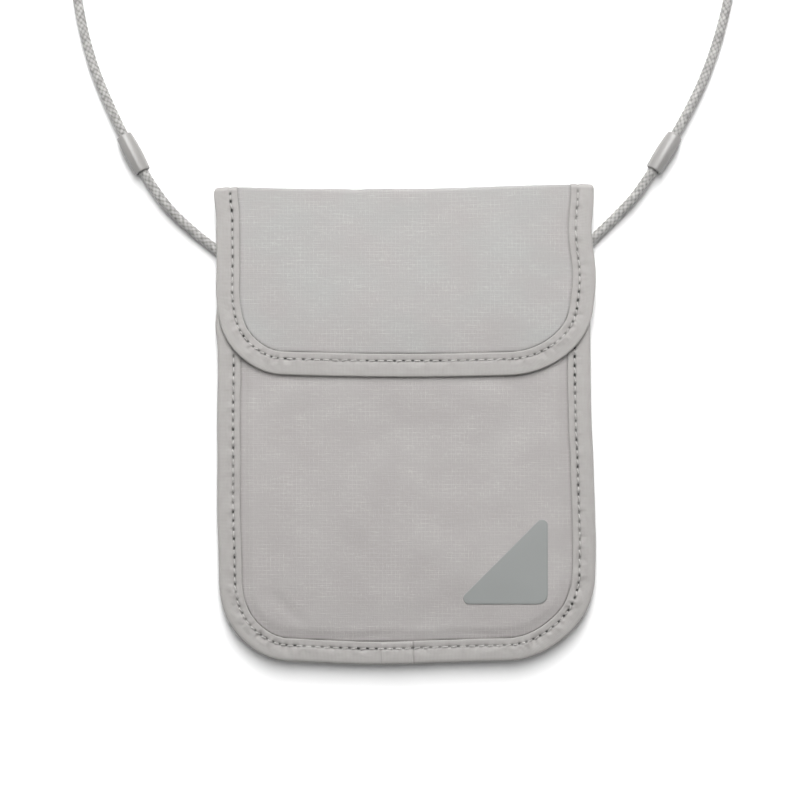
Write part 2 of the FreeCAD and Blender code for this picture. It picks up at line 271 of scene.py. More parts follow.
class Finish:
    """A material whose nodes are added and linked by short calls."""

    def __init__(self, name, roughness, **sockets):
        self.material = bpy.data.materials.new(name)
        self.material.use_nodes = True
        self.tree = self.material.node_tree
        self.shader = self.tree.nodes["Principled BSDF"]
        self.shader.inputs["Roughness"].default_value = roughness
        for socket, value in sockets.items():
            self.shader.inputs[socket.replace("_", " ")].default_value = value

    def add(self, kind, *values, **settings):
        node = self.tree.nodes.new("ShaderNode" + kind)
        for key, value in settings.items():
            setattr(node, key, value)
        for socket, value in zip(node.inputs, values):
            if isinstance(value, bpy.types.NodeSocket):
                self.tree.links.new(value, socket)
            elif value is not None:
                socket.default_value = value
        return node.outputs[0]

    def link(self, value, socket):
        self.tree.links.new(value, self.shader.inputs[socket])

    def math(self, operation, *values):
        return self.add("Math", *values, operation=operation)

    def uv(self):
        """The two uv values, in metres."""
        split = self.add("SeparateXYZ", self.add("UVMap", uv_map="UVMap")).node
        return split.outputs[0], split.outputs[1]

    def speckle(self, u, v, size_u, size_v, detail=2.0):
        """Noise from 0 to 1 stretched along u and v."""
        place = self.add("CombineXYZ", self.math("DIVIDE", u, size_u), self.math("DIVIDE", v, size_v))
        return self.add("TexNoise", place, None, 1.0, detail)

    def lines(self, value, pitch, share):
        """Thin lines, 1 on each line, a pitch apart and a share of it wide."""
        place = self.math("FRACT", self.math("DIVIDE", value, pitch))
        off = self.math("ABSOLUTE", self.math("SUBTRACT", place, 0.5))
        return self.add("MapRange", off, 0.5 - share, 0.5, 0.0, 1.0)

    def ribs(self, value, pitch):
        """Rounded ribs a pitch apart, from 0 to 1."""
        wave = self.math("SINE", self.math("MULTIPLY", value, 2 * math.pi / pitch))
        return self.math("MULTIPLY_ADD", wave, 0.5, 0.5)

    def peaks(self, value):
        """Only the highest parts of a noise, from 0 to 1."""
        return self.add("MapRange", value, 0.58, 0.74, 0.0, 1.0)

    def weighted(self, *pairs):
        """The sum of sockets times weights."""
        total = 0.0
        for value, weight in pairs:
            total = self.math("MULTIPLY_ADD", value, weight, total)
        return total

    def colour(self, first, second, share, brightness):
        """Two colours mixed by share, times brightness and the mesh's tone."""
        mix = self.add("Mix", data_type="RGBA").node
        mix.inputs["A"].default_value = (*first, 1)
        mix.inputs["B"].default_value = (*second, 1)
        self.tree.links.new(share, mix.inputs["Factor"])
        tone = self.add("Attribute", attribute_name="tone").node.outputs["Fac"]
        scale = self.add("VectorMath", mix.outputs["Result"], operation="SCALE")
        self.tree.links.new(self.math("MULTIPLY", tone, brightness), scale.node.inputs["Scale"])
        self.link(scale, "Base Color")

    def relief(self, height, distance, strength=1.0):
        """Light and shade as if the surface rose by height times distance."""
        raised = self.add("Bump", strength, distance)
        self.tree.links.new(height, raised.node.inputs["Height"])
        self.link(raised, "Normal")

    def rough(self, value, low, high):
        """Roughness from low to high as a value goes from 0 to 1."""
        self.link(self.add("MapRange", value, 0.0, 1.0, low, high), "Roughness")


SHEEN = {"Sheen_Weight": 0.15, "Sheen_Roughness": 0.4}


def tinted(colour, factors):
    """A colour times one factor, or times one for each channel."""
    return tuple(np.multiply(colour, factors))


def ripstop(name, warm, cool, roughness=0.5, lines=1.0):
    """Satin nylon with a fine ripstop grid, slubs along both threads and drifting tone."""
    finish = Finish(name, roughness, Specular_IOR_Level=0.35, **SHEEN)
    u, v = finish.uv()
    cell = 1.55 * MM
    thread = 0.34 * MM
    grid = finish.math("MAXIMUM", finish.lines(u, cell, 0.10), finish.lines(v, cell, 0.12))
    weave = finish.math("MULTIPLY", finish.ribs(u, thread), finish.ribs(v, thread))
    across = finish.speckle(u, v, 4.4 * MM, 0.40 * MM)
    down = finish.speckle(v, u, 2.0 * MM, 0.42 * MM)
    drift = finish.speckle(u, v, 26 * MM, 20 * MM, 3.0)
    patch = finish.add("MapRange", finish.speckle(u, v, 15 * MM, 9 * MM, 3.0), 0.42, 0.62, 0.15, 1.0)
    share = finish.add("MapRange", drift, 0.36, 0.64, 0.0, 1.0)
    flecks = finish.math("MAXIMUM", finish.peaks(across), finish.peaks(down))
    raised = finish.weighted((grid, 0.13 * lines), (flecks, 0.16))
    shown = finish.math("MULTIPLY", patch, raised)
    level = finish.weighted((across, 0.10), (down, 0.07), (shown, 1.0), (drift, 0.12))
    finish.colour(warm, cool, share, finish.math("ADD", level, 0.812))
    threads_up = ((grid, 0.6 * lines), (weave, 0.5), (flecks, 0.8), (across, 0.4), (down, 0.5))
    finish.relief(finish.weighted(*threads_up), 0.05 * MM, 0.7)
    finish.rough(across, roughness - 0.1, roughness + 0.1)
    return finish.material


def woven_tape(name, colour, rib_pitch):
    """Narrow tape with fine ribs across it and soft wear along it."""
    finish = Finish(name, 0.6, Specular_IOR_Level=0.3, **SHEEN)
    u, v = finish.uv()
    ribs = finish.ribs(v, rib_pitch)
    warp = finish.ribs(u, 0.45 * MM)
    streak = finish.speckle(v, u, 5 * MM, 0.7 * MM)
    patch = finish.speckle(u, v, 3 * MM, 4 * MM, 3.0)
    level = finish.weighted((ribs, 0.03), (streak, 0.10), (patch, 0.16))
    cooler = tinted(colour, (0.975, 1.0, 0.985))
    finish.colour(colour, cooler, patch, finish.math("ADD", level, 0.86))
    finish.relief(finish.weighted((ribs, 0.6), (warp, 0.3), (patch, 1.2), (streak, 0.8)), 0.06 * MM, 0.7)
    return finish.material


def twisted_yarn(name, colour, pitch, turn):
    """Thread or cord yarn with filaments running at a slant."""
    finish = Finish(name, 0.55, Specular_IOR_Level=0.35, Sheen_Weight=0.5, Sheen_Roughness=0.4)
    u, v = finish.uv()
    slant = finish.math("MULTIPLY_ADD", u, turn, v)
    filaments = finish.ribs(slant, pitch)
    fleck = finish.speckle(u, v, 1.1 * MM, 1.6 * MM)
    level = finish.weighted((filaments, 0.08), (fleck, 0.22), (0.84, 1.0))
    finish.colour(colour, tinted(colour, 0.94), fleck, level)
    finish.relief(filaments, 0.05 * MM, 0.6)
    return finish.material


def pile(name, colour, size, depth):
    """A field of loops or hooks, standing in rows."""
    finish = Finish(name, 0.8, Sheen_Weight=0.25, Sheen_Roughness=0.5)
    u, v = finish.uv()
    tufts = finish.speckle(u, v, size, size, 1.0)
    rows = finish.math("MULTIPLY", finish.ribs(u, 1.1 * MM), finish.ribs(v, 1.1 * MM))
    level = finish.weighted((tufts, 0.5), (rows, 0.25), (0.6, 1.0))
    finish.colour(colour, tinted(colour, 1.25), tufts, level)
    finish.relief(finish.weighted((tufts, 1.0), (rows, 0.6)), depth)
    return finish.material


def moulded(name, colour, roughness, metallic=0.0, coat=0.0, grain=0.02):
    """Moulded plastic, rubber or painted metal with a faint grain and handling marks."""
    finish = Finish(name, roughness, Metallic=metallic, Coat_Weight=coat, Coat_Roughness=0.12)
    u, v = finish.uv()
    fine = finish.speckle(u, v, 0.35 * MM, 0.35 * MM, 3.0)
    wide = finish.speckle(u, v, 6 * MM, 9 * MM, 2.0)
    level = finish.weighted((fine, 0.06), (wide, 0.06), (0.94, 1.0))
    finish.colour(colour, tinted(colour, 0.93), wide, level)
    finish.relief(fine, grain * MM, 0.5)
    finish.rough(wide, max(roughness - 0.06, 0.05), roughness + 0.06)
    return finish.material


WARM = (0.354, 0.339, 0.332)
ROSY = (0.348, 0.3305, 0.324)
COOL = (0.342, 0.340, 0.332)
FINISHES = {
    "shell_cloth": ripstop("shell_cloth", WARM, COOL),
    "front_cloth": ripstop("front_cloth", ROSY, WARM),
    "lining_cloth": ripstop("lining_cloth", (0.27, 0.262, 0.258), (0.26, 0.26, 0.255), 0.65, 0.3),
    "edge_tape": woven_tape("edge_tape", (0.340, 0.324, 0.316), 0.5 * MM),
    "thread": twisted_yarn("thread", (0.43, 0.415, 0.405), 0.35 * MM, 1.2),
    "label": moulded("label", (0.242, 0.252, 0.247), 0.62),
    "loop_pile": pile("loop_pile", (0.21, 0.208, 0.205), 0.5 * MM, 0.5 * MM),
    "hook_pile": pile("hook_pile", (0.18, 0.18, 0.177), 0.35 * MM, 0.4 * MM),
    "zip_tape": woven_tape("zip_tape", (0.26, 0.253, 0.25), 0.6 * MM),
    "zip_coil": moulded("zip_coil", (0.26, 0.253, 0.25), 0.3, coat=0.2),
    "zip_metal": moulded("zip_metal", (0.22, 0.218, 0.215), 0.35, metallic=0.6, coat=0.2),
    "cord": twisted_yarn("cord", (0.43, 0.423, 0.41), 0.30 * MM, 1.0),
    "bead": moulded("bead", (0.275, 0.268, 0.26), 0.42, coat=0.22, grain=0.006),
}


def finish_piece(obj, slot, body=None, replaces=(), look=None):
    """Gives a piece its material, the body that it rides on and the nodes that it stands for."""
    obj.data.materials.clear()
    obj.data.materials.append(FINISHES[look or slot])
    if body:
        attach(obj, body)
    if replaces:
        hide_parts(*replaces)
    return obj


# Camera, lights and floor


def make_camera():
    """A long lens straight above the pouch."""
    data = bpy.data.cameras.new("camera")
    data.lens = 85
    data.sensor_width = 36
    camera = add_object("camera", data)
    view_width = 288.8 * MM
    camera.location = (-1.4 * MM, 8.8 * MM, FRONT_SEAM + view_width * data.lens / data.sensor_width)
    bpy.context.scene.camera = camera


def area_light(name, place, size, power):
    """A soft light that faces the pouch."""
    data = bpy.data.lights.new(name, "AREA")
    data.shape = "RECTANGLE"
    data.size, data.size_y = size
    data.energy = power
    light = add_object(name, data)
    light.location = place
    light.rotation_euler = (Vector((0, 0, 0)) - Vector(place)).to_track_quat("-Z", "Y").to_euler()


def make_lights():
    """A row of soft lights from low to high beyond the far side, and a weak fill on each side."""
    reach = 1.25
    power = 18.95
    for elevation, share in ((84, 0.06), (74, 0.16), (64, 0.19), (54, 0.19), (44, 0.19), (34, 0.21)):
        angle = math.radians(elevation)
        place = (0, reach * math.cos(angle), reach * math.sin(angle))
        area_light(f"softbox_{elevation}", place, (0.50, 0.22), power * share / math.sin(angle))
    for name, side in (("left", -1), ("right", 1)):
        area_light(f"fill_{name}", (1.1 * side, 0, 0.5), (0.5, 0.3), 1.4)


def make_sky():
    """White round the horizon, falling to grey above."""
    world = bpy.data.worlds.new("studio")
    world.use_nodes = True
    nodes, links = world.node_tree.nodes, world.node_tree.links
    split = nodes.new("ShaderNodeSeparateXYZ")
    level = nodes.new("ShaderNodeMapRange")
    for socket, value in (("From Min", 0.03), ("From Max", 0.18), ("To Min", 1.0), ("To Max", 0.09)):
        level.inputs[socket].default_value = value
    links.new(nodes.new("ShaderNodeTexCoord").outputs["Generated"], split.inputs[0])
    links.new(split.outputs["Z"], level.inputs["Value"])
    links.new(level.outputs[0], nodes["Background"].inputs["Strength"])
    nodes["Background"].inputs["Color"].default_value = (1, 1, 1, 1)
    bpy.context.scene.world = world
    bpy.context.scene.view_settings.view_transform = "Standard"


def make_floor():
    """A white table that glows more and more away from the pouch."""
    bpy.ops.mesh.primitive_plane_add(size=9, location=(0, 0, -0.05 * MM))
    floor = bpy.context.object
    floor.name = "floor"
    finish = Finish("floor", 0.9, Base_Color=(0.95, 0.95, 0.95, 1), Emission_Color=(1, 1, 1, 1))
    place = finish.add("TexCoord").node.outputs["Object"]
    far = finish.add("VectorMath", place, operation="LENGTH").node.outputs["Value"]
    finish.link(finish.add("MapRange", far, 0.22, 0.75, 0.0, 1.0), "Emission Strength")
    floor.data.materials.append(finish.material)


make_camera()
make_sky()
make_lights()
make_floor()


# Neck cord


def coil_route():
    """Points of the put-away coil: clockwise, inwards on the table and out again on top."""
    low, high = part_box("cord_coil")
    centre = (low + high) / 2
    outer = (high.x - low.x) / 2 - CORD / 2
    points = []
    for step in range(1, 2 * COIL_TURNS * COIL_POINTS):
        turn = step / COIL_POINTS
        going_in = turn < COIL_TURNS
        inner = turn if going_in else 2 * COIL_TURNS - turn
        whole = math.floor(inner)
        part = smooth(inner - whole, *((0.75, 1.0) if going_in else (0.0, 0.25)))
        ring = min(whole + part, COIL_TURNS - 1)
        radius = (outer - ring * CORD) / math.cos(math.pi / COIL_POINTS)
        layer = smooth(turn, COIL_TURNS - 0.3, COIL_TURNS + 0.1)
        angle = math.pi / 2 - 2 * math.pi * turn
        height = low.z + CORD * (0.5 + float(layer))
        points.append((centre.x + radius * math.cos(angle), centre.y + radius * math.sin(angle), height))
    top = (centre.x, centre.y + outer, low.z + 0.5 * CORD)
    return [top] + points + [(top[0], top[1], top[2] + CORD)]


def spline_points(route):
    """The points of the smooth spline that a route controls."""
    curve = bpy.data.curves.new("route", "CURVE")
    curve.dimensions = "3D"
    spline = curve.splines.new("NURBS")
    spline.points.add(len(route) - 1)
    for point, place in zip(spline.points, route):
        point.co = (*place, 1)
    spline.order_u = 3
    spline.use_endpoint_u = True
    spline.resolution_u = 10
    holder = bpy.data.objects.new("route", curve)
    mesh = bpy.data.meshes.new_from_object(holder)
    points = np.array([vertex.co for vertex in mesh.vertices])
    bpy.data.objects.remove(holder)
    bpy.data.curves.remove(curve)
    bpy.data.meshes.remove(mesh)
    return points


def braid_height(turn, along):
    """How far the strands of a round braid stand out, from 0 in a gap to 1 on a crown."""
    carriers = 6
    lay = 13.0 * MM
    first = turn * carriers + along * carriers / lay
    second = turn * carriers - along * carriers / lay
    cell_a, cell_b = np.floor(first), np.floor(second)
    edge_a = np.sqrt(np.clip(1 - (2 * (first - cell_a) - 1) ** 2, 0, 1))
    edge_b = np.sqrt(np.clip(1 - (2 * (second - cell_b) - 1) ** 2, 0, 1))
    over_a = np.cos(np.pi * (second - 0.5 + cell_a))
    over_b = -np.cos(np.pi * (first - 0.5 + cell_b))
    ends_a = 0.90 + 0.10 * np.cos(6 * np.pi * (first - cell_a))
    ends_b = 0.90 + 0.10 * np.cos(6 * np.pi * (second - cell_b))
    strand_a = edge_a * ends_a * (0.6 + 0.4 * over_a) * (1 + 0.10 * noise(cell_a, second, 1.0, 101))
    strand_b = edge_b * ends_b * (0.6 + 0.4 * over_b) * (1 + 0.10 * noise(cell_b, first, 1.0, 102))
    return np.clip(np.maximum(strand_a, strand_b), 0, 1)


def make_cord():
    """One round braided cord from tab to tab, as a mesh tube along its route."""
    path, length = even_steps(spline_points(LEFT_ROUTE + coil_route() + RIGHT_ROUTE[::-1]), 0.36 * MM)
    sides = 40
    turn = (np.arange(sides) / sides)[None]
    along = np.linspace(0, length, len(path))[:, None]
    height = braid_height(turn, along)
    radius = CORD / 2 * (0.89 + 0.11 * height)
    rings = rings_round(path, 2 * np.pi * turn[0], radius[..., None])
    wear = 1 + 0.34 * noise(turn * 9, along / (0.9 * MM), 1.0, 103)
    # Painted shade: darker in the gaps between the braid's strands, times random flecks along the yarn.
    tone = (0.42 + 0.52 * smooth(height, 0.25, 0.85)) * wear
    cord = loft("neck_cord", rings, stacked(turn * math.pi * CORD, along), tone)
    finish_piece(cord, "cord", "pouch", ("neck_cord_left", "neck_cord_right", "cord_coil"))
    return cord, path, length


def facing(route):
    """A bead's middle and the direction of the cord through it."""
    start, end = Vector(route[2]), Vector(route[3])
    return (start + end) / 2, (end - start).normalized()


def make_bead(name, route, body, roll):
    """A glossy barrel with six soft lengthwise facets and a recess at each mouth."""
    half = 7.4 * MM
    middle = 3.30 * MM
    end = 2.92 * MM
    lip_width = 0.5 * MM
    centre, along = facing(route)
    side = along.cross(Vector((0, 0, 1))).normalized()
    up = side.cross(along)
    turn = np.linspace(0, 2 * np.pi, 72, endpoint=False)
    sector = np.pi / 3
    local = (turn + roll) % sector - sector / 2
    facet = np.cos(sector / 2) / np.cos(local)
    facet = 1 - 0.34 * (1 - facet / facet.max())
    places = half * np.sin(np.linspace(-np.pi / 2, np.pi / 2, 41))
    barrel = end + (middle - end) * np.cos(places / half * np.pi / 2)
    rounding = np.clip((np.abs(places) - half + lip_width) / lip_width, 0, None)
    lip = np.sqrt(np.clip(1 - rounding**2, 0, 1))
    outer = (barrel * (0.86 + 0.14 * lip))[:, None] * facet[None]
    recess = np.r_[half - np.array([0.02, 0.25]) * MM, half - lip_width]
    inner_radii = np.array([2.22, 2.14, 2.05, 2.05, 2.14, 2.22]) * MM
    radii = np.concatenate([outer, np.repeat(inner_radii[:, None], len(turn), 1)])
    offsets = np.r_[places, recess, -recess[::-1]]
    ring = np.outer(np.cos(turn), side) + np.outer(np.sin(turn), up)
    rings = np.array(centre) + offsets[:, None, None] * np.array(along) + radii[..., None] * ring[None]
    # Painted shade inside the bore at each mouth, darkest deepest in.
    bore_shade = np.r_[np.ones(len(places)), 0.5, 0.25, 0.15, 0.15, 0.25, 0.5]
    tone = np.repeat(bore_shade[:, None], len(turn), 1)
    bead = loft(name, rings, None, tone, closed=True)
    return finish_piece(bead, "bead", body, (name.replace("bead", "cord_bead"),))


def make_tie():
    """A soft strap round the coil, with its end lapped over on top."""
    thick = 0.6 * MM
    (_, mid_y, mid_z), (half_x, half_y, half_z) = middle_and_half("coil_tie")
    turn = np.radians(np.linspace(60, 60 + 400, 90))
    out = squared(turn, 4)
    lift = 0.65 * MM * smooth(np.degrees(turn), 400, 430)
    path_y = mid_y + (half_y - thick / 2 + lift) * np.cos(turn) * out
    path_z = mid_z + (half_z - thick / 2 + lift) * np.sin(turn) * out
    path = stacked(0.0, path_y, path_z)
    outward = np.cross(unit(np.gradient(path, axis=0)), (1.0, 0, 0))[:, None]
    corners = np.array([(-0.5, -0.5), (0, -0.5), (0.5, -0.5), (0.5, 0.5), (0, 0.55), (-0.5, 0.5)])
    across, up = corners[:, :1], corners[:, 1:]
    rings = path[:, None] + across * (2 * half_x, 0, 0) + up * thick * outward
    rings[..., 2] = np.maximum(rings[..., 2], 0.02 * MM)
    return finish_piece(loft("coil_strap", rings), "edge_tape", "pouch", ("coil_tie",))


cord, cord_line, cord_length = make_cord()
beads = [
    make_bead("bead_left", LEFT_ROUTE, "bead_left", 0.35),
    make_bead("bead_right", RIGHT_ROUTE, "bead_right", 0.75),
]
tie = make_tie()

# Outlines


def bump(value, middle, width):
    """A bell, 1 in the middle."""
    return np.exp(-(((value - middle) / width) ** 2))


def body_shift(x, y):
    """How far the pouch's edge lies outside its cut, along x."""
    right = 1.8 * bump(y, -0.042, 0.036) + 0.9 * smooth(y, 0.066, 0.080)
    left = 0.3 * bump(y, 0.020, 0.012) - 0.6 * bump(y, 0.036, 0.005) + 0.55 * bump(y, -0.058, 0.018)
    left -= 0.9 * smooth(y, 0.074, 0.083)
    return np.where(x > 0, right, left) * MM + 0.10 * MM * noise(y, 0, 0.011, 5)


def flap_shift(x, y):
    """How far the flap's edge lies outside its cut, along x."""
    right = 1.7 * bump(y, 0.052, 0.012) + 0.9 * smooth(y, 0.068, 0.082) - 0.2 * bump(y, 0.030, 0.010)
    left = 0.3 - 0.4 * smooth(y, 0.038, 0.050) - 0.9 * smooth(y, 0.074, 0.084)
    return np.where(x > 0, right, left) * MM + 0.10 * MM * noise(y, 0, 0.012, 8)


def body_lift(x):
    """How far the pouch's bottom edge lies above its cut."""
    return (0.5 * (x / (40 * MM)) ** 2 - 0.9 * bump(x, -0.012, 0.024)) * MM


def flap_lift(x):
    """How far the flap's bottom edge lies above its cut."""
    return (0.7 * (x / (40 * MM)) ** 2 - 0.1) * MM


class Outline:
    """An open outline down the left side, along the bottom and up the right side."""

    def __init__(self, half, bottom, top, left_corner, right_corner, shift, lift):
        self.half = half
        self.bottom = bottom
        self.corners = (left_corner, right_corner)
        self.shift = shift
        quarter = np.linspace(0, np.pi / 2, 40)[:, None]
        (lx, ly), (rx, ry) = left_corner, right_corner
        left = np.hstack([lx - half - lx * np.cos(quarter), bottom + ly - ly * np.sin(quarter)])
        right = np.hstack([half - rx + rx * np.sin(quarter), bottom + ry - ry * np.cos(quarter)])
        points, _ = even_steps(np.concatenate([[(-half, top)], left, right, [(half, top)]]), 1 * MM)
        side = smooth(points[:, 1], bottom, bottom + 20 * MM)
        points[:, 0] += shift(points[:, 0], points[:, 1]) * side
        points[:, 1] += lift(points[:, 0]) * (1 - side)
        _, length = even_steps(points, PITCH)
        count = round(length / PITCH)
        self.points, _ = even_steps(points, length / (count * STEPS_PER_STITCH) * JUST_UNDER)
        self.pitch = length / count
        self.run = np.linspace(0, length, len(self.points))
        along = unit(np.gradient(self.points, axis=0))
        self.inward = stacked(-along[:, 1], along[:, 0])
        turning = np.abs(np.gradient(np.unwrap(np.arctan2(along[:, 1], along[:, 0])), self.run))
        self.bend = np.convolve(turning, np.ones(40) / 40, "same") * 25 * MM
        self.tree = kdtree.KDTree(len(self.points))
        for number, (x, y) in enumerate(self.points):
            self.tree.insert((x, y, 0), number)
        self.tree.balance()

    def edge(self, y, side, inset):
        """The x of the outline at a height y, moved in by inset, on side 0 (left) or 1 (right)."""
        reach_x, reach_y = self.corners[side]
        rise = np.clip((self.bottom + reach_y - y) / (reach_y - inset), 0, 1)
        x = self.half - reach_x + (reach_x - inset) * np.sqrt(1 - rise**2)
        x = x if side else -x
        return x + self.shift(np.sign(x) + 0 * y, y) * smooth(y, self.bottom, self.bottom + 20 * MM)

    def grid(self, inset, low, high, step):
        """A grid of x and y from side to side between two heights."""
        y = np.linspace(low, high, int((high - low) / step) + 1)[:, None]
        share = np.linspace(0, 1, int(2 * self.half / step))[None]
        left, right = self.edge(y, 0, inset), self.edge(y, 1, inset)
        return left + (right - left) * share, np.broadcast_to(y, (len(y), share.shape[1]))

    def inset(self, x, y):
        """How far points lie inside the outline."""
        x, y = np.broadcast_arrays(x, y)
        places = zip(x.ravel().tolist(), y.ravel().tolist())
        return np.array([self.tree.find((*place, 0))[2] for place in places]).reshape(x.shape)

    def off_hole(self, run):
        """How far along the edge the nearest needle hole is."""
        return (run / self.pitch - np.round(run / self.pitch)) * self.pitch


BODY = Outline(HALF, BOTTOM, BODY_TOP, BODY_LEFT_CORNER, BODY_RIGHT_CORNER, body_shift, body_lift)
FLAP = Outline(HALF, FLAP_BOTTOM, FLAP_END, FLAP_LEFT_CORNER, FLAP_RIGHT_CORNER, flap_shift, flap_lift)


# Heights


def front_height(x, y):
    """Height of the front cloth's outer face: flat at the seams, with a soft belly under the label."""
    inset = BODY.inset(x, y)
    belly = smooth(inset, 8 * MM, 32 * MM) * (1 - smooth(y, -30 * MM, 20 * MM))
    full = 0.35 * belly + 0.95 * bump(y, 15 * MM, 13 * MM) * (1 - smooth(np.abs(x), 27 * MM, 55 * MM))
    rise = 0.55 * smooth(inset, TAPE - 1 * MM, TAPE + 0.6 * MM)
    rise = rise + 0.60 * smooth(inset, TAPE, 13 * MM) + full
    free = smooth(inset, 9 * MM, 16 * MM) * (1 - 0.8 * smooth(y, 12 * MM, 24 * MM))
    wave = 0.22 * noise(x, y, 24 * MM, 11) + 0.10 * noise(x, y, 9 * MM, 12)
    crease = crease_line(x, y, (-47, -62), (-36, -72), 2.4) * 0.26
    crease += crease_line(x, y, (-20, -77), (2, -74.5), 1.4) * 0.20
    crease += crease_line(x, y, (12, -74), (34, -76), 1.3) * 0.14
    return FRONT_SEAM + (rise - 0.50 + free * wave - crease) * MM


def crease_line(x, y, start, end, width):
    """A soft dent along a line between two places in millimetres."""
    start, end = np.array(start) * MM, np.array(end) * MM
    along = end - start
    share = np.clip(((x - start[0]) * along[0] + (y - start[1]) * along[1]) / (along @ along), 0, 1)
    off = np.hypot(x - start[0] - share * along[0], y - start[1] - share * along[1])
    depth = 0.4 + 0.6 * np.sin(np.pi * np.clip(share, 0.02, 0.98))
    return bump(off, 0, width * MM) * depth


def near_fold(y):
    """0 away from the fold and 1 close to it."""
    return smooth(y, 70 * MM, 82 * MM)


def back_height(x, y):
    """Height of the back cloth's outer face: on the table in the middle and up at the seams."""
    inset = BODY.inset(x, y)
    belly = smooth(inset, 9 * MM, 27 * MM)
    wave = (0.25 + 0.25 * noise(x, y, 22 * MM, 21)) * belly * (1 - near_fold(y))
    return BACK_SEAM * (1 - belly) + wave * MM


def flap_height(x, y):
    """Height of the closed flap's outer face."""
    side = smooth(np.abs(x) - 4 * MM * smooth(x, 20 * MM, 45 * MM), 27 * MM, 63 * MM)
    level = FLAP_TOP + (FLAP_SIDE - FLAP_TOP) * side
    sag = 0.70 * (1 - smooth(y, FLAP_BOTTOM - 2 * MM, FLAP_BOTTOM + 24 * MM)) * (1 - side)
    lift = 0.35 * bump(np.hypot(x + 60 * MM, y - 26 * MM), 0, 9 * MM)
    wave = 0.16 * noise(x, y, 30 * MM, 31) + 0.07 * noise(x, y, 11 * MM, 32)
    return level + (wave * (1 - near_fold(y)) - sag + lift - 0.15) * MM


FOLD_DEPTH = 1.4 * MM
FOLD_START = FOLD_Y - FOLD_DEPTH
FOLD_RUN = 6 * MM


def fold_sag(x):
    """How far the folded edge lies above its cut: lowest in the middle, highest at the right."""
    left = 0.4 * smooth(-x, 0.030, 0.058) - 0.5 * smooth(-x, 0.060, 0.068)
    right = 1.4 * smooth(x, 0.002, 0.058) - 0.2 * smooth(x, 0.061, 0.068)
    return (left + right - 0.8 - 0.35 * bump(x, -0.017, 0.003)) * MM


def fold(x, v, offset, height, up):
    """Places on the cloth over the fold: up is 1 for the flap's half and -1 for the back's."""
    mid = (flap_height(x, FOLD_START) + back_height(x, FOLD_START)) / 2
    deep = up * (height(x, np.minimum(v, FOLD_START)) - mid)
    corner = np.clip((np.abs(x) - HALF + 0.4 * MM) / (1.4 * MM), 0, 0.96)
    reach = FOLD_DEPTH * np.sqrt(1 - corner**2)
    turn = np.clip((v - FOLD_START) / FOLD_RUN, 0, 1) * np.pi / 2
    normal_y, normal_z = deep * np.sin(turn), reach * np.cos(turn)
    size = np.hypot(normal_y, normal_z)
    y = np.minimum(v, FOLD_START) + reach * np.sin(turn) + offset * normal_y / size
    y = y + fold_sag(x) * smooth(v, 0.060, FOLD_START)
    return stacked(x, y, mid + up * (deep * np.cos(turn) + offset * normal_z / size))


def on_flap(x, v, offset):
    return fold(x, v, offset, flap_height, 1)


def on_back(x, v, offset):
    return fold(x, v, offset, back_height, -1)


def on_body(x, y, offset):
    return stacked(x, y, SEAM_Z + offset)


STIFF = (0, FOLD_Y - 1.6 * MM, 0)
FLAP_BEND = ("spine", "flap", STIFF, (0, FOLD_Y - 8 * MM, 0))
BACK_BEND = ("pouch", "spine", (0, FOLD_Y - 4.4 * MM, 0), STIFF)
FLAP_MID = -0.36 * MM
FLAP_TAPE_HALF = 0.60 * MM
BODY_EDGE = (BODY, on_body, SEAM_HALF, 0)
FLAP_EDGE = (FLAP, on_flap, FLAP_TAPE_HALF, FLAP_MID)


# Edge tape and its stitches


def tape_lift(outline, run, inset):
    """How far the folded tape's faces stand out: pulled in by the stitches and puckered beside them."""
    hole = outline.off_hole(run)
    bend = np.interp(run, outline.run, outline.bend)
    row = bump(inset, STITCH_INSET, 0.8 * MM)
    pit = bump(hole, 0, 0.62 * MM) * bump(inset, STITCH_INSET, 0.42 * MM)
    pucker = noise(run, inset, 2.8 * MM, 41) * 0.30 + noise(run, inset, 1.3 * MM, 42) * 0.14
    spread = bump(inset, STITCH_INSET - 0.6 * MM, 2.2 * MM) * (0.6 + 1.2 * bend)
    dimple = bump(hole, 0, 0.9 * MM) * bump(inset, STITCH_INSET, 1.6 * MM) * 0.06
    crown = 0.14 * np.sin(np.pi * np.clip(inset / STITCH_INSET, 0, 1))
    slack = 0.10 * noise(run, inset, 14 * MM, 43)
    return (crown + slack + pucker * spread - 0.16 * row - 0.26 * pit - dimple) * MM


def tape_shade(outline, run, inset):
    """Painted shade: darker in the needle holes and in the groove between them, and a painted shadow line
    beside the tape's lapped end.
    """
    x, y = (np.interp(run, outline.run, outline.points[:, axis]) for axis in (0, 1))
    # Painted shadow: a thin dark line beside the end of the lapped tape.
    lap = 0.45 * bump(x, LAP_X + LAP_HALF, 0.20 * MM) * (y < NEAR_BOTTOM)
    uneven = 1 + 0.35 * noise(np.round(run / outline.pitch), 0, 1.0, 44)
    uneven = uneven * np.clip(0.75 + 0.5 * noise(run, 0, 15 * MM, 45), 0.3, 1)
    # Painted shade in the needle holes and along the stitch groove, its depth varied at random from stitch
    # to stitch.
    hole = 1.5 * bump(outline.off_hole(run), 0, 0.60 * MM)
    pit = np.clip(hole * bump(inset, STITCH_INSET, 0.40 * MM) * uneven, 0, 1)
    row = 0.86 * pit + 0.10 * bump(inset, STITCH_INSET, 0.5 * MM)
    return 1 - row * (1 - smooth(y, FOLD_START - 0.6 * MM, FOLD_START)) - lap


